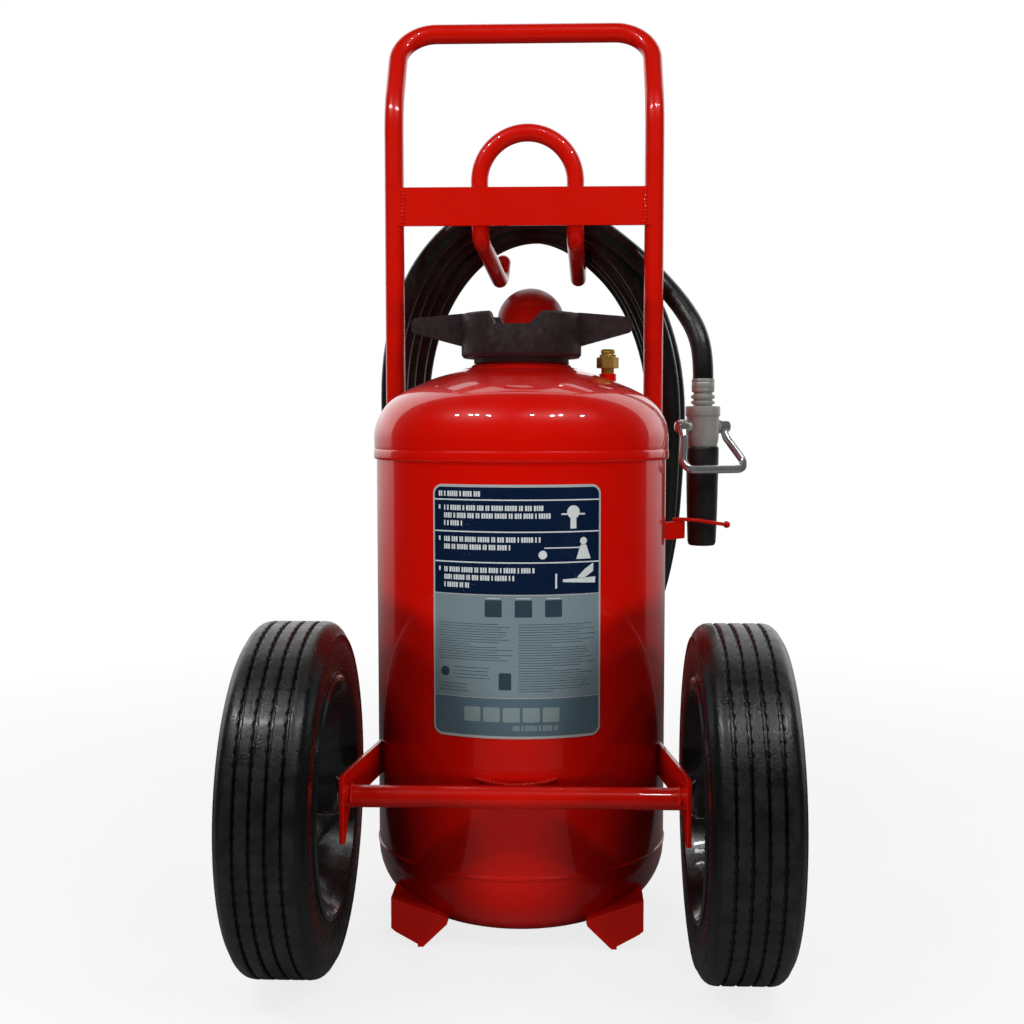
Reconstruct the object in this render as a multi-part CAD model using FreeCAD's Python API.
import FreeCAD, Part
import math
import os

# A wheeled dry-powder fire extinguisher, in millimetres.
# +X is to the right of a person facing the label, +Y points to the rear, +Z is up.
# The origin is on the ground, under the axis of the powder tank.

V = FreeCAD.Vector
RIGHT = V(1, 0, 0)
REAR = V(0, 1, 0)
UP = V(0, 0, 1)

# --- driving dimensions -------------------------------------------------------------------
TANK_R = 203.0            # powder tank, 16 inch outside diameter
WALL = 4.0
SHELL_BOTTOM = 104.0
SHELL_TOP = 640.0
HEAD_R = 206.5            # the top head's skirt laps over the shell
HEAD_BASE = 668.0         # where the top head's knuckle starts
HEAD_KNUCKLE = 70.0
HEAD_CROWN = 350.0
FOOT_KNUCKLE = 88.0       # the bottom head is flatter
FOOT_CROWN = 900.0

COLLAR_R = 60.0
COLLAR_BORE = 50.0
COLLAR_TOP = 815.0
CAP_R = 84.0
CAP_BOTTOM = 780.0
CAP_TOP = 841.0
CAP_REACH = 155.0         # wing tip to axis
CAP_TURN = -4.0           # degrees, how far the cap is screwed past square

WHEEL_R = 220.0
WHEEL_WIDTH = 104.0
WHEEL_X = 276.0           # middle of each wheel
AXLE_Y = -233.0
AXLE_R = 10.0

FRAME_TUBE_R = 14.3
FRAME_X = 192.0
FRAME_Y = 111.0
FRAME_BOTTOM = 150.0
BEND_Z = 1150.0           # the handle leans back above this
HANDLE_Y = 187.0
HANDLE_Z = 1280.0
CROSS_LOW = 979.0
CROSS_HIGH = 1035.0
CROSS_Y = 101.0
HANGER_R = 13.0

GAS_X = 5.0               # nitrogen cylinder
GAS_Y = 307.0
GAS_R = 89.0
GAS_BASE = 46.0

HOSE_R = 15.2             # 3/4 inch hose, 30.4 mm outside
COIL_X = 8.0
COIL_HALF_WIDTH = 227.0   # centreline of the outermost turn
COIL_WAIST_Z = 700.0
COIL_TOP_Z = 1020.0
COIL_BOTTOM_Z = 240.0
COIL_FRONT_Y = 147.5
COIL_LEAN = (80.0, 202.0)     # the loops swing back behind the cylinder
COIL_DEPTH = 166.0        # first turn to last turn
COIL_FAN = 33.0           # how much smaller the last turn is
COIL_SLANT = 0.07         # sideways shift of the turns for each millimetre of depth
COIL_SPREAD = 0.16        # how much further apart the turns lie at the bottom than at the top
COIL_TOP_POWER = 1.95     # 2 is an ellipse, more is squarer
COIL_SHOULDER = 0.27      # how much squarer the front turns are at the upper left
COIL_BOTTOM_POWER = 3.6

NOZZLE_X = 265.0
NOZZLE_Y = 100.0
NOZZLE_TURN = 26.0        # degrees that the nozzle is turned about its own axis
PIVOT_Z = 684.0

os.makedirs("parts", exist_ok=True)
saved = {}


# --- small tools --------------------------------------------------------------------------
def save(name, *solids):
    shape = solids[0] if len(solids) == 1 else Part.makeCompound(list(solids))
    shape.exportStep("parts/%s.step" % name)
    saved[name] = shape
    if not shape.isValid() or shape.Volume <= 0:
        print("BAD SHAPE", name)


def rod(radius, start, end):
    return Part.makeCylinder(radius, (end - start).Length, start, end - start)


def pipe(outer, inner, start, end):
    return rod(outer, start, end).cut(rod(inner, start, end))


def block(x0, x1, y0, y1, z0, z1):
    return Part.makeBox(x1 - x0, y1 - y0, z1 - z0, V(x0, y0, z0))


def moved(shape, base=V(0, 0, 0), axis=UP, turn=0.0):
    """A shape drawn about the Z axis, turned about it, then stood on base along axis."""
    shape = shape.copy()
    spin = FreeCAD.Placement(V(0, 0, 0), FreeCAD.Rotation(UP, turn))
    stand = FreeCAD.Placement(base, FreeCAD.Rotation(UP, axis))
    shape.Placement = stand.multiply(spin)
    return shape


def turned(points, base=V(0, 0, 0), axis=UP):
    """A solid of revolution from a closed outline of (radius, height) points."""
    corners = [V(r, 0, h) for r, h in points]
    face = Part.Face(Part.makePolygon(corners + corners[:1]))
    return moved(face.revolve(V(0, 0, 0), UP, 360), base, axis)


def hexagon(across_flats, height, base, axis=UP):
    corner = across_flats / math.sqrt(3)
    points = [V(corner * math.cos(math.radians(a)), corner * math.sin(math.radians(a)), 0)
              for a in range(0, 361, 60)]
    return moved(Part.Face(Part.makePolygon(points)).extrude(V(0, 0, height)), base, axis)


def bolt(across_flats, head, shank_r, length, base, axis):
    """A hexagon bolt whose head stands on base and whose shank runs back along -axis."""
    unit = V(axis).normalize()
    return hexagon(across_flats, head, base, axis).fuse(rod(shank_r, base, base - unit * length))


def prism(points, low, high):
    """An outline of (x, y) points, raised from low to high."""
    corners = [V(x, y, low) for x, y in points]
    return Part.Face(Part.makePolygon(corners + corners[:1])).extrude(V(0, 0, high - low))


def route(points, radii):
    """Straight runs between the points, with a tangent arc of the given radius at each one."""
    edges = []
    last = points[0]
    for before, here, after, radius in zip(points, points[1:], points[2:], radii):
        back = (before - here).normalize()
        ahead = (after - here).normalize()
        half_turn = (math.pi - back.getAngle(ahead)) / 2
        reach = radius * math.tan(half_turn)
        start = here + back * reach
        end = here + ahead * reach
        inward = (back + ahead).normalize()
        middle = here + inward * (radius / math.cos(half_turn) - radius)
        edges.append(Part.LineSegment(last, start).toShape())
        edges.append(Part.Arc(start, middle, end).toShape())
        last = end
    edges.append(Part.LineSegment(last, points[-1]).toShape())
    return Part.Wire(edges)


def swept(path, radius):
    """A round bar along a path."""
    first = path.Edges[0]
    start = first.valueAt(first.FirstParameter)
    along = first.tangentAt(first.FirstParameter)
    profile = Part.Wire([Part.makeCircle(radius, start, along)])
    return path.makePipeShell([profile], True, False)


def bent_bar(points, radii, radius, bore=0.0):
    path = route(points, radii)
    bar = swept(path, radius)
    return bar.cut(swept(path, bore)) if bore else bar


def cord_radii(points):
    """The largest arcs that a hose's runs leave room for."""
    radii = []
    for before, here, after in zip(points, points[1:], points[2:]):
        back = before - here
        ahead = after - here
        turn = math.pi - back.getAngle(ahead)
        radii.append(0.45 * min(back.Length, ahead.Length) / math.tan(turn / 2))
    return radii


def dome_edges(radius, knuckle, crown, base, way):
    """A dished head's meridian: knuckle arc, then crown arc, ending on the axis."""
    slope = math.asin((radius - knuckle) / (crown - knuckle))
    depth = crown - math.sqrt((crown - knuckle) ** 2 - (radius - knuckle) ** 2)

    def on_knuckle(angle):
        return V(radius - knuckle + knuckle * math.cos(angle), 0,
                 base + way * knuckle * math.sin(angle))

    def on_crown(angle):
        return V(crown * math.sin(angle), 0,
                 base + way * (depth - crown + crown * math.cos(angle)))

    full = math.pi / 2 - slope
    arcs = [Part.Arc(on_knuckle(0), on_knuckle(full / 2), on_knuckle(full)).toShape(),
            Part.Arc(on_knuckle(full), on_crown(slope / 2), on_crown(0)).toShape()]
    return arcs, depth


def dished_head(radius, knuckle, crown, base, skirt, way, wall=WALL):
    """A hollow dished head with a straight skirt from its base to skirt height."""
    outer, depth = dome_edges(radius, knuckle, crown, base, way)
    inner, inner_depth = dome_edges(radius - wall, knuckle - wall, crown - wall, base, way)
    top = base + way * depth
    inner_top = base + way * inner_depth
    edges = [Part.LineSegment(V(radius, 0, skirt), V(radius, 0, base)).toShape()]
    edges += outer
    edges.append(Part.LineSegment(V(0, 0, top), V(0, 0, inner_top)).toShape())
    edges += inner
    edges.append(Part.LineSegment(V(radius - wall, 0, base), V(radius - wall, 0, skirt)).toShape())
    edges.append(Part.LineSegment(V(radius - wall, 0, skirt), V(radius, 0, skirt)).toShape())
    wire = Part.Wire(Part.__sortEdges__(edges))
    return Part.Face(wire).revolve(V(0, 0, 0), UP, 360)


def crown_height(radius):
    """Height of the top head's outside at a distance from the tank's axis, on its crown."""
    _, depth = dome_edges(HEAD_R, HEAD_KNUCKLE, HEAD_CROWN, HEAD_BASE, 1)
    return HEAD_BASE + depth - HEAD_CROWN + math.sqrt(HEAD_CROWN ** 2 - radius ** 2)


# --- powder tank --------------------------------------------------------------------------
INLET = V(52, 164, 0)         # where the gas comes in, clear of the cap's wings
RELIEF = V(121, 0, 0)         # relief valve, on the top head
OUTLET_WAY = V(0.5, math.sqrt(0.75), 0)
OUTLET_Z = 200.0


def outlet_point(distance):
    return OUTLET_WAY * distance + V(0, 0, OUTLET_Z)


def tank():
    shell = pipe(TANK_R, TANK_R - WALL, V(0, 0, SHELL_BOTTOM), V(0, 0, SHELL_TOP))
    save("tank_shell", shell.cut(rod(14, outlet_point(150), outlet_point(240))))

    head = dished_head(HEAD_R, HEAD_KNUCKLE, HEAD_CROWN, HEAD_BASE, SHELL_TOP + 14, 1)
    lap = turned([(TANK_R - WALL, SHELL_TOP), (TANK_R, SHELL_TOP), (HEAD_R - 0.8, SHELL_TOP + 10),
                  (HEAD_R, SHELL_TOP + 14), (HEAD_R - WALL, SHELL_TOP + 14)])
    head = head.fuse(lap).cut(rod(COLLAR_R, V(0, 0, 700), V(0, 0, 800)))
    head = head.cut(rod(7, INLET + V(0, 0, 700), INLET + V(0, 0, 800)))
    head = head.cut(rod(7, RELIEF + V(0, 0, 700), RELIEF + V(0, 0, 800)))
    save("top_head", head)

    base = dished_head(TANK_R, FOOT_KNUCKLE, FOOT_CROWN, SHELL_BOTTOM - 6, SHELL_BOTTOM, -1)
    bead = 1.6
    seam = Part.makeTorus(TANK_R - 0.3, bead, V(0, 0, SHELL_BOTTOM - bead), UP)
    seam = seam.cut(rod(TANK_R - 0.5, V(0, 0, 90), V(0, 0, 120)))
    save("bottom_head", base.fuse(seam))

    flare = turned([(COLLAR_R, 755), (80, 755), (80, crown_height(80) + 0.6), (70, 768.5),
                    (66, 772), (COLLAR_R, 772)])
    ball = Part.makeSphere(HEAD_CROWN, V(0, 0, crown_height(0) - HEAD_CROWN))
    neck = pipe(COLLAR_R, COLLAR_BORE, V(0, 0, 758), V(0, 0, COLLAR_TOP))
    for z in (792, 798, 804, 810):
        neck = neck.cut(turned([(58.6, z - 1.2), (61, z - 2.2), (61, z + 2.2), (58.6, z + 1.2)]))
    save("neck_collar", neck.fuse(flare.cut(ball)))
    save("collar_gasket", pipe(59, 51, V(0, 0, COLLAR_TOP), V(0, 0, COLLAR_TOP + 2.5)))


# --- filling cap --------------------------------------------------------------------------
def filling_cap():
    roof = COLLAR_TOP + 3.2
    body = turned([(60.4, 772.6), (66.5, 772.6), (66.5, CAP_BOTTOM), (81, CAP_BOTTOM),
                   (CAP_R, CAP_BOTTOM + 4), (CAP_R, 838), (CAP_R - 3, CAP_TOP), (58, CAP_TOP),
                   (54, 822.5), (0, 822.5), (0, roof), (60.4, roof)])
    side = [(84, 797), (140, 812), (151, 815), (155, 819), (155, 831), (151, 836), (138, 837.5),
            (84, CAP_TOP + 1), (70, CAP_TOP + 1), (70, 797)]
    wings = []
    for way in (1, -1):
        corners = [V(way * x, -12, z) for x, z in side]
        wing = Part.Face(Part.makePolygon(corners + corners[:1])).extrude(V(0, 24, 0))
        plan = prism([(way * 60, -12), (way * 90, -12), (way * CAP_REACH, -8),
                      (way * CAP_REACH, 8), (way * 90, 12), (way * 60, 12)], 790, 850)
        wings.append(wing.common(plan))
    cavity = rod(81, V(0, 0, 770), V(0, 0, 830))
    body = body.fuse([wing.cut(cavity) for wing in wings])
    notch = [(-29, 823), (19, 823), (37, CAP_TOP), (37, 850), (-39, 850)]
    corners = [V(x, -95, z) for x, z in notch]
    groove = Part.Face(Part.makePolygon(corners + corners[:1])).extrude(V(0, 190, 0))
    body = body.cut(groove)
    save("fill_cap", moved(body, turn=CAP_TURN))


# --- relief valve -------------------------------------------------------------------------
def relief_valve():
    foot = crown_height(RELIEF.x)
    boss = pipe(12, 6.2, RELIEF + V(0, 0, foot - 6), RELIEF + V(0, 0, foot + 6))
    ball = Part.makeSphere(HEAD_CROWN, V(0, 0, crown_height(0) - HEAD_CROWN))
    outer_boss = pipe(21, 14, outlet_point(190), outlet_point(214))
    outer_boss = outer_boss.cut(rod(TANK_R, V(0, 0, 90), V(0, 0, 400)))
    save("weld_bosses", boss.cut(ball), outer_boss)
    low = foot + 6
    body = hexagon(27, 15, RELIEF + V(0, 0, 766))
    body = body.fuse(rod(9, RELIEF + V(0, 0, low), RELIEF + V(0, 0, 766)))
    body = body.fuse(rod(11.5, RELIEF + V(0, 0, 781), RELIEF + V(0, 0, 785)))
    body = body.cut(rod(3.5, RELIEF + V(0, 0, low), RELIEF + V(0, 0, 768)))
    body = body.cut(rod(8.5, RELIEF + V(0, 0, 768), RELIEF + V(0, 0, 782)))
    body = body.cut(rod(3.06, RELIEF + V(0, 0, 782), RELIEF + V(0, 0, 785)))
    save("relief_body", body)
    save("relief_spring", pipe(7.5, 5.0, RELIEF + V(0, 0, 771.2), RELIEF + V(0, 0, 781.8)))
    stem = rod(7.6, RELIEF + V(0, 0, 768.2), RELIEF + V(0, 0, 771))
    stem = stem.fuse(rod(3.0, RELIEF + V(0, 0, 771), RELIEF + V(0, 0, 787)))
    button = turned([(0, 785.5), (8, 785.5), (9.5, 787), (9.5, 791), (8, 792.2), (0, 792.2)], RELIEF)
    for k in range(12):
        angle = math.radians(30 * k)
        spot = RELIEF + V(10 * math.cos(angle), 10 * math.sin(angle), 0)
        button = button.cut(rod(1.2, spot + V(0, 0, 785), spot + V(0, 0, 796)))
    ring = Part.makeTorus(9.0, 1.1, RELIEF + V(0, -11.5, 788.6), V(0.1, -0.1, 1))
    save("relief_stem", stem.fuse([button, ring]))


# --- handle frame, cross plate and hose hanger ---------------------------------------------
def handle_points():
    return [V(-FRAME_X, FRAME_Y, FRAME_BOTTOM), V(-FRAME_X, FRAME_Y, BEND_Z),
            V(-FRAME_X + 1, HANDLE_Y, HANDLE_Z), V(FRAME_X - 1, HANDLE_Y, HANDLE_Z),
            V(FRAME_X, FRAME_Y, BEND_Z), V(FRAME_X, FRAME_Y, FRAME_BOTTOM)]


def handle_frame():
    bends = [110, 56, 56, 110]
    tube = bent_bar(handle_points(), bends, FRAME_TUBE_R, FRAME_TUBE_R - 2.4)
    for x in (-FRAME_X, FRAME_X):
        end = V(x, FRAME_Y, FRAME_BOTTOM)
        tube = tube.fuse(rod(FRAME_TUBE_R, end - UP * 4, end))
    save("handle_frame", tube)

    solid_tube = swept(route(handle_points(), bends), FRAME_TUBE_R)
    plate = block(-186, 186, CROSS_Y - 3, CROSS_Y + 3, CROSS_LOW, CROSS_HIGH)
    save("cross_plate", plate.cut(solid_tube))

    shell = rod(TANK_R, V(0, 0, 90), V(0, 0, SHELL_TOP))
    outward = V(FRAME_X, FRAME_Y, 0).normalize()
    clips = []
    for side in (-1, 1):
        way = V(side * outward.x, outward.y, 0)
        for z in (200, 400, 600):
            across = V(way.y, -way.x, 0)
            low = way * (TANK_R - 3) - across * 22 + V(0, 0, z)
            clip = Part.makeBox(44, 9, 40)
            turn = FreeCAD.Rotation(across, way, UP, "ZXY")
            clip.Placement = FreeCAD.Placement(low, turn)
            clips.append(clip.cut(shell).cut(solid_tube))
    save("frame_clips", *clips)


HOOK_LEFT = [V(-66, 117.3, 1046), V(-65, 117.3, 962), V(-46, 346, 922), V(-43, 360, 956)]
HOOK_RIGHT = [V(76, 117.3, 1046), V(76, 117.3, 962), V(83, 346, 924), V(83, 360, 958)]


def hose_hanger():
    left = HOOK_LEFT[0]
    right = HOOK_RIGHT[0]
    radius = (right.x - left.x) / 2
    top = V((left.x + right.x) / 2, left.y, left.z + radius)
    arch = Part.Wire([Part.Arc(left, top, right).toShape()])
    profile = Part.Wire([Part.makeCircle(HANGER_R, left, UP)])
    bar = arch.makePipeShell([profile], True, False)
    for points in (HOOK_LEFT, HOOK_RIGHT):
        bar = bar.fuse(bent_bar(points, [24, 24], HANGER_R))
        bar = bar.fuse(Part.makeSphere(HANGER_R, points[-1]))
    save("hose_hanger", bar)


# --- axle, side plates and wheels ------------------------------------------------------------
def side_plate(side):
    """A plate from the axle back to the tank's side, toed in towards the tank."""
    outline = [(0, 240), (0, 163), (9, 160), (14, 170), (26, 196), (40, 205), (215, 205), (215, 250),
               (26, 250), (8, 249), (1, 245)]
    corners = [V(0, y, z) for y, z in outline]
    plate = Part.Face(Part.makePolygon(corners + corners[:1])).extrude(V(-side * 6, 0, 0))
    toe_in = side * 7.6
    plate.Placement = FreeCAD.Placement(V(side * 220.5, AXLE_Y - 16, 0),
                                        FreeCAD.Rotation(UP, toe_in))
    plate = plate.cut(rod(TANK_R, V(0, 0, 90), V(0, 0, 300)))
    plate = plate.Solids[0] if len(plate.Solids) == 1 else max(plate.Solids, key=lambda s: s.Volume)
    return plate.cut(rod(AXLE_R + 0.1, V(-300, AXLE_Y, WHEEL_R), V(300, AXLE_Y, WHEEL_R)))


def axle():
    plates = {side: side_plate(side) for side in (-1, 1)}
    save("side_plate_left", plates[-1])
    save("side_plate_right", plates[1])
    housing = pipe(14, AXLE_R + 0.1, V(-225, AXLE_Y, WHEEL_R), V(225, AXLE_Y, WHEEL_R))
    housing = housing.cut(plates[1]).cut(plates[-1])
    save("axle_housing", max(housing.Solids, key=lambda s: s.Volume))
    pad = block(-45, 45, AXLE_Y + 6, -190, WHEEL_R - 11, WHEEL_R + 4)
    pad = pad.cut(rod(TANK_R, V(0, 0, 90), V(0, 0, 300)))
    pad = pad.cut(rod(14, V(-60, AXLE_Y, WHEEL_R), V(60, AXLE_Y, WHEEL_R)))
    save("axle_saddle", max(pad.Solids, key=lambda s: s.Volume))

    end = WHEEL_X + 66
    bar = rod(AXLE_R, V(-end, AXLE_Y, WHEEL_R), V(end, AXLE_Y, WHEEL_R))
    washers = []
    pins = []
    for side in (-1, 1):
        pin_x = side * (WHEEL_X + 60)
        bar = bar.cut(rod(2.2, V(pin_x, AXLE_Y, WHEEL_R - 20), V(pin_x, AXLE_Y, WHEEL_R + 20)))
        inner = WHEEL_X - 54.4
        outer = WHEEL_X + 54.4
        washers.append(pipe(17, AXLE_R + 0.1, V(side * (inner - 0.6), AXLE_Y, WHEEL_R),
                            V(side * inner, AXLE_Y, WHEEL_R)))
        washers.append(pipe(17, AXLE_R + 0.1, V(side * outer, AXLE_Y, WHEEL_R),
                            V(side * (outer + 2.5), AXLE_Y, WHEEL_R)))
        pin = rod(2.0, V(pin_x, AXLE_Y, WHEEL_R - 15), V(pin_x, AXLE_Y, WHEEL_R + 12))
        eye = Part.makeTorus(3.2, 1.2, V(pin_x, AXLE_Y, WHEEL_R + 14.5), RIGHT)
        pins.append(pin.fuse(eye))
    save("axle", bar)
    save("axle_washers", *washers)
    save("cotter_pins", *pins)


def wheel(name, side):
    """A wheel drawn with its outer face towards +Z, then laid over onto the axle."""
    half = WHEEL_WIDTH / 2
    groove = 2.0
    depth = 5.0
    outline = [(148, -half + 8), (172, -half), (196, -half - 1), (211, -half + 3), (217, -half + 8),
               (WHEEL_R - 0.6, -half + 14)]
    for z in (-27, -9, 9, 27):
        outline += [(WHEEL_R, z - groove), (WHEEL_R - depth, z - groove + 0.6),
                    (WHEEL_R - depth, z + groove - 0.6), (WHEEL_R, z + groove)]
    outline += [(r, -z) for r, z in reversed(outline[:6])]
    base = V(side * WHEEL_X, AXLE_Y, WHEEL_R)
    way = V(side, 0, 0)
    save("tyre_" + name, turned(outline, base, way))
    rim = [(26, -9), (26, 9), (40, 8), (60, 4), (118, 20), (140, 40), (144.5, 52), (149, 54),
           (152, 51.5), (152, 48.6), (148, 44), (148, -44), (152, -48.6), (152, -51.5), (149, -54),
           (144.5, -52), (140, -40), (118, 12), (60, -4), (40, -8)]
    disc = turned(rim, base, way)
    save("rim_" + name, disc)
    spool = turned([(AXLE_R + 0.06, -54), (20, -54), (24, -50), (24, -12), (34, -12), (34, -9.1),
                    (25.9, -9.1), (25.9, 9.4), (24, 12), (24, 40), (20, 54), (AXLE_R + 0.06, 54)],
                   base, way)
    save("hub_" + name, spool)
    dust = turned([(24.05, 30), (26, 30), (26, 58), (22, 70), (10, 75), (0, 75), (0, 73.4),
                   (9.5, 73.4), (20.6, 69), (24.05, 57)], base, way)
    save("hub_cap_" + name, dust)


# --- feet and rear shelf -------------------------------------------------------------------
FOOT_X = 128.0
FOOT_FRONT = -172.0
FOOT_BACK = 453.0         # level with the wheels' fronts, the other way
SHELF_BACK = 410.0


def foot(side, tank_bottom):
    """A skid plate notched round the tank, with a pointed shoe folded across its front end."""
    shoe = [(-166, 66), (-166, 25), (-160, 20), (-124, 0), (-92, 31), (-91, 39)]
    corners = [V(-side * x, FOOT_FRONT, z) for x, z in shoe]
    front = Part.Face(Part.makePolygon(corners + corners[:1])).extrude(V(0, 5, 0))
    shelf = [(-166, 66), (-166, 61), (-91, 34), (-91, 39)]
    corners = [V(-side * x, FOOT_FRONT, z) for x, z in shelf]
    top = Part.Face(Part.makePolygon(corners + corners[:1])).extrude(V(0, 62, 0))
    web = block(FOOT_X - 3, FOOT_X + 3, FOOT_FRONT, FOOT_BACK, 0, 40)
    rear = block(FOOT_X - 3, FOOT_X + 3, 150, FOOT_BACK, 0, 90)
    pad = block(FOOT_X - 20, FOOT_X + 20, FOOT_BACK - 60, FOOT_BACK, 0, 6)
    web = web.fuse([rear, pad])
    if side < 0:
        web = web.mirror(V(0, 0, 0), RIGHT)
    return web.fuse([front, top]).cut(tank_bottom).removeSplitter()


def feet():
    edges, depth = dome_edges(TANK_R + 0.3, FOOT_KNUCKLE, FOOT_CROWN, SHELL_BOTTOM - 6, -1)
    base = SHELL_BOTTOM - 6
    edges.append(Part.LineSegment(V(0, 0, base - depth), V(0, 0, 300)).toShape())
    edges.append(Part.LineSegment(V(0, 0, 300), V(TANK_R + 0.3, 0, 300)).toShape())
    edges.append(Part.LineSegment(V(TANK_R + 0.3, 0, 300), V(TANK_R + 0.3, 0, base)).toShape())
    space = Part.Face(Part.Wire(Part.__sortEdges__(edges))).revolve(V(0, 0, 0), UP, 360)
    for name, side in (("left", -1), ("right", 1)):
        shape = foot(side, space)
        save("foot_" + name, max(shape.Solids, key=lambda s: s.Volume))
    shelf = block(-FOOT_X + 3, FOOT_X - 3, 214, SHELF_BACK, GAS_BASE - 6, GAS_BASE)
    lip = block(-FOOT_X + 3, FOOT_X - 3, SHELF_BACK - 6, SHELF_BACK, GAS_BASE, GAS_BASE + 26)
    save("cylinder_shelf", shelf.fuse(lip).removeSplitter())


# --- nitrogen cylinder and its valve ---------------------------------------------------------
GAS = V(GAS_X, GAS_Y, 0)
NECK_TOP = 724.0
VALVE_SIDE_Z = 752.0


def gas_cylinder():
    shoulder = 560.0
    edges, depth = dome_edges(GAS_R, 70, 120, shoulder, 1)
    line = []
    line.append(Part.LineSegment(V(0, 0, GAS_BASE), V(GAS_R - 8, 0, GAS_BASE)).toShape())
    line.append(Part.LineSegment(V(GAS_R - 8, 0, GAS_BASE), V(GAS_R, 0, GAS_BASE + 9)).toShape())
    line.append(Part.LineSegment(V(GAS_R, 0, GAS_BASE + 9), V(GAS_R, 0, shoulder)).toShape())
    line += edges
    line.append(Part.LineSegment(V(0, 0, shoulder + depth), V(0, 0, GAS_BASE)).toShape())
    outside = Part.Face(Part.Wire(Part.__sortEdges__(line))).revolve(V(0, 0, 0), UP, 360)
    neck = turned([(0, shoulder), (26, shoulder), (26, NECK_TOP - 52), (19, NECK_TOP - 34),
                   (19, NECK_TOP - 4), (17, NECK_TOP), (0, NECK_TOP)])
    inner, inner_depth = dome_edges(GAS_R - 6, 64, 114, shoulder, 1)
    line = [Part.LineSegment(V(0, 0, GAS_BASE + 8), V(GAS_R - 6, 0, GAS_BASE + 8)).toShape(),
            Part.LineSegment(V(GAS_R - 6, 0, GAS_BASE + 8), V(GAS_R - 6, 0, shoulder)).toShape(),
            Part.LineSegment(V(0, 0, shoulder + inner_depth), V(0, 0, GAS_BASE + 8)).toShape()]
    cavity = Part.Face(Part.Wire(Part.__sortEdges__(line + inner))).revolve(V(0, 0, 0), UP, 360)
    bottle = outside.fuse(neck).cut(cavity)
    bottle = bottle.cut(rod(12, V(0, 0, shoulder), V(0, 0, NECK_TOP)))
    save("gas_cylinder", moved(bottle, GAS))


def gas_valve():
    body = turned([(0, NECK_TOP - 30), (11.9, NECK_TOP - 30), (11.9, NECK_TOP), (18, NECK_TOP),
                   (18, NECK_TOP + 10), (14, NECK_TOP + 14), (14, 774), (17, 776), (17, 796),
                   (6.1, 796), (6.1, 760), (0, 760)], GAS)
    body = body.fuse(hexagon(40, 10, GAS + V(0, 0, NECK_TOP)))
    side_start = GAS + V(0, 0, VALVE_SIDE_Z)
    body = body.fuse(rod(9, side_start, side_start + V(30, 0, 0)))
    body = body.fuse(rod(8, side_start, side_start - V(26, 0, 0)))
    body = body.cut(rod(6.1, GAS + V(0, 0, 760), GAS + V(0, 0, 800)))
    body = body.cut(rod(3, side_start, side_start + V(30, 0, 0)))
    body = body.fuse(hexagon(19, 7, side_start - V(26, 0, 0), V(-1, 0, 0)))
    save("valve_body", body)

    spindle = rod(6.0, GAS + V(0, 0, 764), GAS + V(0, 0, 822))
    save("valve_spindle", spindle)
    dome = 55.0
    centre = 853.0
    knob = Part.makeSphere(dome, GAS + V(0, 0, centre))
    knob = knob.common(rod(dome, GAS + V(0, 0, 826), GAS + V(0, 0, 910)))
    knob = knob.fuse(turned([(0, 812), (16, 812), (17, 816), (24, 826), (0, 826)], GAS))
    for k in range(8):
        angle = math.radians(45 * k + 20)
        spot = GAS + V(61 * math.cos(angle), 61 * math.sin(angle), 0)
        knob = knob.cut(rod(12, spot + V(0, 0, 800), spot + V(0, 0, 846)))
    knob = knob.cut(rod(6.0, GAS + V(0, 0, 800), GAS + V(0, 0, 822)))
    save("valve_knob", knob)


REGULATOR = V(GAS_X + 58, GAS_Y, VALVE_SIDE_Z)


def regulator():
    nut = hexagon(27, 14, GAS + V(30, 0, VALVE_SIDE_Z), RIGHT)
    nut = nut.cut(rod(3, GAS + V(29, 0, VALVE_SIDE_Z), GAS + V(50, 0, VALVE_SIDE_Z)))
    body = rod(20, REGULATOR + V(-14, 0, 0), REGULATOR + V(20, 0, 0))
    bonnet = turned([(0, 0), (24, 0), (24, 7), (20, 12), (13, 30), (8, 34), (0, 34)],
                    REGULATOR + V(0, 0, -18), V(0, 0, -1))
    body = body.fuse([bonnet, nut])
    body = body.fuse(rod(7, REGULATOR + V(4, 18, 0), REGULATOR + V(4, 30, 0)))
    body = body.fuse(rod(8, REGULATOR + V(2, -17, 0), REGULATOR + V(2, -30, 0)))
    save("regulator", body)
    face = REGULATOR + V(4, 30, 0)
    case = turned([(0, 0), (23, 0), (25, 3), (25, 14), (22.5, 14), (22.5, 5), (0, 5)], face, REAR)
    save("gauge_case", case)
    save("gauge_dial", rod(22.4, face + V(0, 5, 0), face + V(0, 5.8, 0)))
    save("gauge_glass", rod(22.4, face + V(0, 12, 0), face + V(0, 13.4, 0)))
    hand = prism([(-1.2, -6), (1.2, -6), (0.8, 16), (0, 18), (-0.8, 16)], 0, 0.8)
    hand = hand.fuse(rod(2.6, V(0, 0, 0), V(0, 0, 2.4)))
    lay = FreeCAD.Placement(face + V(0, 7.4, 0), FreeCAD.Rotation(V(1, 0, 0), -90))
    turn = FreeCAD.Placement(V(0, 0, 0), FreeCAD.Rotation(UP, 130))
    hand.Placement = lay.multiply(turn)
    save("gauge_hand", hand)


GAS_LINE_END = 768.0
GAS_LINE_TOP = 812.0


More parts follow.
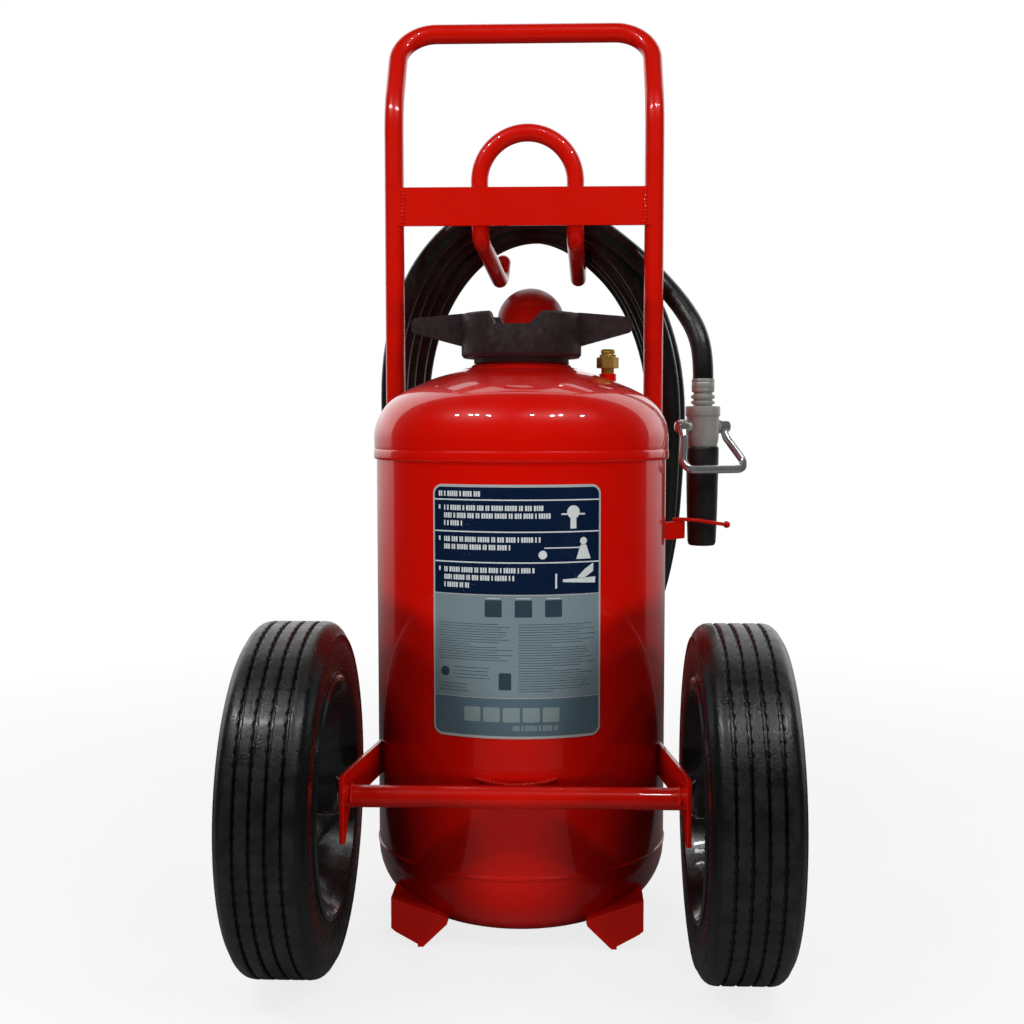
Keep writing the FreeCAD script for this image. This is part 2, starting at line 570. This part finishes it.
def gas_line():
    """The pipe from the regulator to the tank, and the fitting and tube that take the gas in."""
    shoulder = INLET.Length - (HEAD_R - HEAD_KNUCKLE)
    foot_z = HEAD_BASE + math.sqrt(HEAD_KNUCKLE ** 2 - shoulder ** 2)
    fitting = hexagon(22, 10, INLET + V(0, 0, foot_z + 14))
    fitting = fitting.fuse([rod(12, INLET + V(0, 0, foot_z - 14), INLET + V(0, 0, foot_z + 14)),
                            rod(9, INLET + V(0, 0, foot_z + 24), INLET + V(0, 0, GAS_LINE_END))])
    edges, depth = dome_edges(HEAD_R, HEAD_KNUCKLE, HEAD_CROWN, HEAD_BASE, 1)
    edges.append(Part.LineSegment(V(0, 0, HEAD_BASE + depth), V(0, 0, HEAD_BASE)).toShape())
    edges.append(Part.LineSegment(V(0, 0, HEAD_BASE), V(HEAD_R, 0, HEAD_BASE)).toShape())
    dome = Part.Face(Part.Wire(Part.__sortEdges__(edges))).revolve(V(0, 0, 0), UP, 360)
    inside = rod(6.9, INLET + V(0, 0, 70), INLET + V(0, 0, foot_z + 14))
    fitting = fitting.cut(dome).fuse(inside)
    fitting = fitting.cut(rod(4.6, INLET + V(0, 0, 70), INLET + V(0, 0, GAS_LINE_END)))
    save("gas_inlet", fitting)

    start = REGULATOR + V(2, -30, 0)
    end = INLET + V(0, 0, GAS_LINE_END)
    points = [start, start + V(0, -38, 0), V(57, 212, GAS_LINE_TOP), INLET + V(0, 0, GAS_LINE_TOP), end]
    save("gas_line", bent_bar(points, [24, 26, 22], 6.5))


def strap():
    """A steel band round the nitrogen cylinder, bolted to two ears welded on the tank."""
    low = 430.0
    high = 462.0
    band = pipe(GAS_R + 3.3, GAS_R + 0.3, GAS + V(0, 0, low), GAS + V(0, 0, high))
    band = band.cut(block(GAS_X - 75, GAS_X + 75, GAS_Y - 120, GAS_Y - 30, low - 5, high + 5))
    ears = []
    bolts = []
    for side in (-1, 1):
        x = GAS_X + side * 90
        y = GAS_Y - 46
        tab = block(min(x, x + side * 26), max(x, x + side * 26), y - 3, y, low, high)
        link = block(min(x - side * 9, x), max(x - side * 9, x), y - 3, y, low, high)
        hole = rod(5.2, V(x + side * 15, y - 30, 446), V(x + side * 15, y + 10, 446))
        ring_gap = rod(GAS_R + 0.3, GAS + V(0, 0, low), GAS + V(0, 0, high))
        band = band.fuse(tab.fuse(link).cut(ring_gap)).cut(hole)
        ear = block(min(x + side * 2, x + side * 28), max(x + side * 2, x + side * 28),
                    120, y - 3.2, low, high)
        ear = ear.cut(block(min(x + side * 8, x + side * 30), max(x + side * 8, x + side * 30),
                            60, y - 9.4, low - 1, high + 1))
        ear = ear.cut(rod(TANK_R, V(0, 0, 300), V(0, 0, 600))).cut(hole)
        ears.append(max(ear.Solids, key=lambda s: s.Volume))
        bolts.append(bolt(15, 6, 5.0, 22, V(x + side * 15, y + 0.2, 446), REAR))
    save("strap_ears", *ears)
    save("cylinder_strap", band.removeSplitter())
    save("strap_bolts", *bolts)


# --- hose ---------------------------------------------------------------------------------
def coil_point(angle, shrink, depth):
    """A point of the loop that hangs on the hooks; angle 90 is its top."""
    across = math.cos(math.radians(angle))
    rise = math.sin(math.radians(angle))
    power = COIL_TOP_POWER if rise > 0 else COIL_BOTTOM_POWER
    if rise > 0 and across < 0:
        power += COIL_SHOULDER * (1 - depth / COIL_DEPTH)
    reach = COIL_TOP_Z - COIL_WAIST_Z if rise > 0 else COIL_WAIST_Z - COIL_BOTTOM_Z
    size = (abs(across) ** power + abs(rise) ** power) ** (-1.0 / power)
    x = COIL_X + COIL_SLANT * depth + across * size * (COIL_HALF_WIDTH - shrink)
    z = COIL_WAIST_Z + rise * size * (reach - shrink)
    drop = (COIL_TOP_Z - z) / (COIL_TOP_Z - COIL_BOTTOM_Z)
    y = COIL_FRONT_Y + COIL_LEAN[0] * drop + COIL_LEAN[1] * drop ** 2
    return V(x, y + depth * (1 + COIL_SPREAD * drop), z)


def hose_coil():
    gap = HOSE_R + 0.6
    front = -gap
    back = COIL_DEPTH + gap
    sections = []
    for angle in range(0, 360, 9):
        corners = [coil_point(angle, -gap, front), coil_point(angle, -gap, back),
                   coil_point(angle, gap + COIL_FAN, back), coil_point(angle, gap, front)]
        sections.append(Part.makePolygon(corners + corners[:1]))
    save("hose_coil", Part.makeLoft(sections, True, True, True))


TAIL = [V(265, 100, 754), V(265, 100, 788), V(256, 114, 828), V(236, 134, 864), V(210, 152, 898),
        V(181, 160, 928), V(152, 157, 953)]
LEAD = [V(131, 226.9, 200), V(155, 268.5, 200), V(174, 316, 206), V(184, 366, 214), V(184, 416, 223),
        V(173, 464, 230), V(148, 508, 236), V(112, 540, 240), V(76, 556, 242)]


def hose_run(name, points):
    radii = cord_radii(points)
    path = route(points, radii)
    tube = swept(path, HOSE_R)
    ideal = math.pi * HOSE_R ** 2 * path.Length
    print(name, "radii", [round(r) for r in radii], "length", round(path.Length),
          "volume ratio", round(tube.Volume / ideal, 4))
    save(name, tube)


def outlet():
    nut = hexagon(40, 20, outlet_point(214), OUTLET_WAY)
    nut = nut.fuse(rod(13.8, outlet_point(196), outlet_point(216)))
    nut = nut.fuse(rod(17, outlet_point(234), outlet_point(262)))
    save("outlet_fitting", nut.cut(rod(10, outlet_point(190), outlet_point(261.5))))
    bend = [outlet_point(195.5), outlet_point(120), V(82, 72, 34)]
    save("pickup_tube", bent_bar(bend, [40], 13, 10.5))


# --- nozzle -------------------------------------------------------------------------------
NOZZLE = V(NOZZLE_X, NOZZLE_Y, 0)


def nozzle():
    ferrule = turned([(0, 735), (16.2, 735), (16.8, 738), (16.8, 752), (16.2, 754), (0, 754)], NOZZLE)
    collar = turned([(10, 714.2), (14, 714.2), (14, 717), (17.5, 718.5), (17.5, 721), (14, 723),
                     (14, 725), (17.5, 726.5), (17.5, 729), (14, 731), (14, 735), (10, 735)], NOZZLE)
    save("nozzle_ferrule", ferrule.fuse(collar))
    body = turned([(10, 655), (21.5, 655), (23.5, 668), (24, 699), (25.5, 700.5), (25.5, 713),
                   (24, 714.2), (10, 714.2)], NOZZLE)
    body = body.cut(Part.makeSphere(17.3, NOZZLE + V(0, 0, PIVOT_Z)))
    turn = math.radians(NOZZLE_TURN)
    across = V(math.cos(turn), math.sin(turn), 0)
    ahead = V(math.sin(turn), -math.cos(turn), 0)
    pivot = NOZZLE + V(0, 0, PIVOT_Z)
    body = body.fuse([pipe(8, 5.06, pivot + across * 22, pivot + across * 28.5),
                      pipe(8, 5.06, pivot - across * 22, pivot - across * 28.5)])
    body = body.cut(rod(5.06, pivot - across * 40, pivot + across * 40))
    save("nozzle_body", body)
    tip = turned([(11, 508), (17, 508), (21, 511), (24, 640), (24, 651), (22.5, 654.8), (11, 654.8)],
                 NOZZLE)
    save("nozzle_barrel", tip)

    ball = Part.makeSphere(17.0, pivot).cut(rod(9.5, pivot - ahead * 20, pivot + ahead * 20))
    ball = ball.fuse([rod(5.0, pivot - across * 41, pivot - across * 13),
                      rod(5.0, pivot + across * 13, pivot + across * 41)])
    save("nozzle_ball", ball)
    arm = 6.0
    points = []
    for out, forward, down in ((35, 0, 0), (36, 8, 16), (57, 38, 62)):
        points.append(pivot + across * out + ahead * forward - UP * down)
    mirrored = [p - across * (2 * (p - pivot).dot(across)) for p in points]
    bail = bent_bar(points + mirrored[::-1], [12, 14, 14, 12], arm)
    for way in (1, -1):
        bail = bail.fuse(rod(10, pivot + across * 29 * way, pivot + across * 41 * way))
    bail = bail.cut(rod(5.0, pivot - across * 60, pivot + across * 60))
    save("nozzle_lever", bail)
    screws = []
    for way in (1, -1):
        screws.append(turned([(0, 41.0), (9, 41.0), (8.6, 43.5), (4, 45.5), (0, 45.5)], pivot,
                             across * way))
    save("pivot_screws", *screws)


def nozzle_bracket():
    mid = 533.0
    half = 13.0
    cup_in = 25.4
    cup = pipe(cup_in + 5, cup_in, NOZZLE + V(0, 0, mid - half), NOZZLE + V(0, 0, mid + half))
    keep = prism([(NOZZLE_X - 40, 62), (NOZZLE_X - 12, 62), (NOZZLE_X - 12, 150),
                  (NOZZLE_X - 40, 150)], mid - half, mid + half)
    arm = prism([(188, 42), (229, 84), (238, 84), (238, 76), (196, 34)], mid - half, mid + half)
    shape = cup.common(keep).fuse(arm)
    shape = shape.cut(rod(cup_in, NOZZLE + V(0, 0, 500), NOZZLE + V(0, 0, 600)))
    shape = shape.cut(rod(TANK_R, V(0, 0, 400), V(0, 0, 620)))
    rounding = 9.0
    outline = block(180, NOZZLE_X - 18, 0, 200, mid - half, mid + half)
    corners = [e for e in outline.Edges if e.Length > 199 and e.CenterOfMass.x > 200]
    shape = shape.common(outline.makeFillet(rounding, corners))
    shape = max(shape.Solids, key=lambda s: s.Volume)
    save("nozzle_bracket", shape.removeSplitter())
    wire = [V(222, 69.5, mid + half + 2.8), V(240, 66, mid + half + 2.8), V(258, 70, mid + 14),
            V(282, 72, mid + 10), V(300, 84, mid + 7)]
    hook = bent_bar(wire, [14, 40, 30], 2.8)
    hook = hook.fuse(Part.makeSphere(5.2, wire[-1]))
    hook = hook.fuse(rod(2.8, V(222, 69.5, mid), V(222, 69.5, mid + half + 2.8)))
    hook = hook.fuse(Part.makeSphere(2.8, wire[0]))
    save("nozzle_hook", hook.cut(shape))


# --- label plate --------------------------------------------------------------------------
def label_plate():
    low = 287.0
    high = 612.0
    half_angle = 32.0
    skin = 0.5
    corner = 12.0
    band = pipe(TANK_R + 0.05 + skin, TANK_R + 0.05, V(0, 0, low), V(0, 0, high))
    half = TANK_R * math.sin(math.radians(half_angle))
    window = block(-half, half, -TANK_R - 20, -50, low, high)
    window = window.makeFillet(corner, [e for e in window.Edges
                                        if abs(e.tangentAt(e.FirstParameter).y) > 0.99])
    save("label_plate", band.common(window))


tank()
filling_cap()
relief_valve()
handle_frame()
hose_hanger()
axle()
wheel("left", -1)
wheel("right", 1)
feet()
gas_cylinder()
gas_valve()
regulator()
gas_line()
strap()
hose_coil()
hose_run("hose_tail", TAIL)
hose_run("hose_lead", LEAD)
outlet()
nozzle()
nozzle_bracket()
label_plate()
print(len(saved), "nodes")
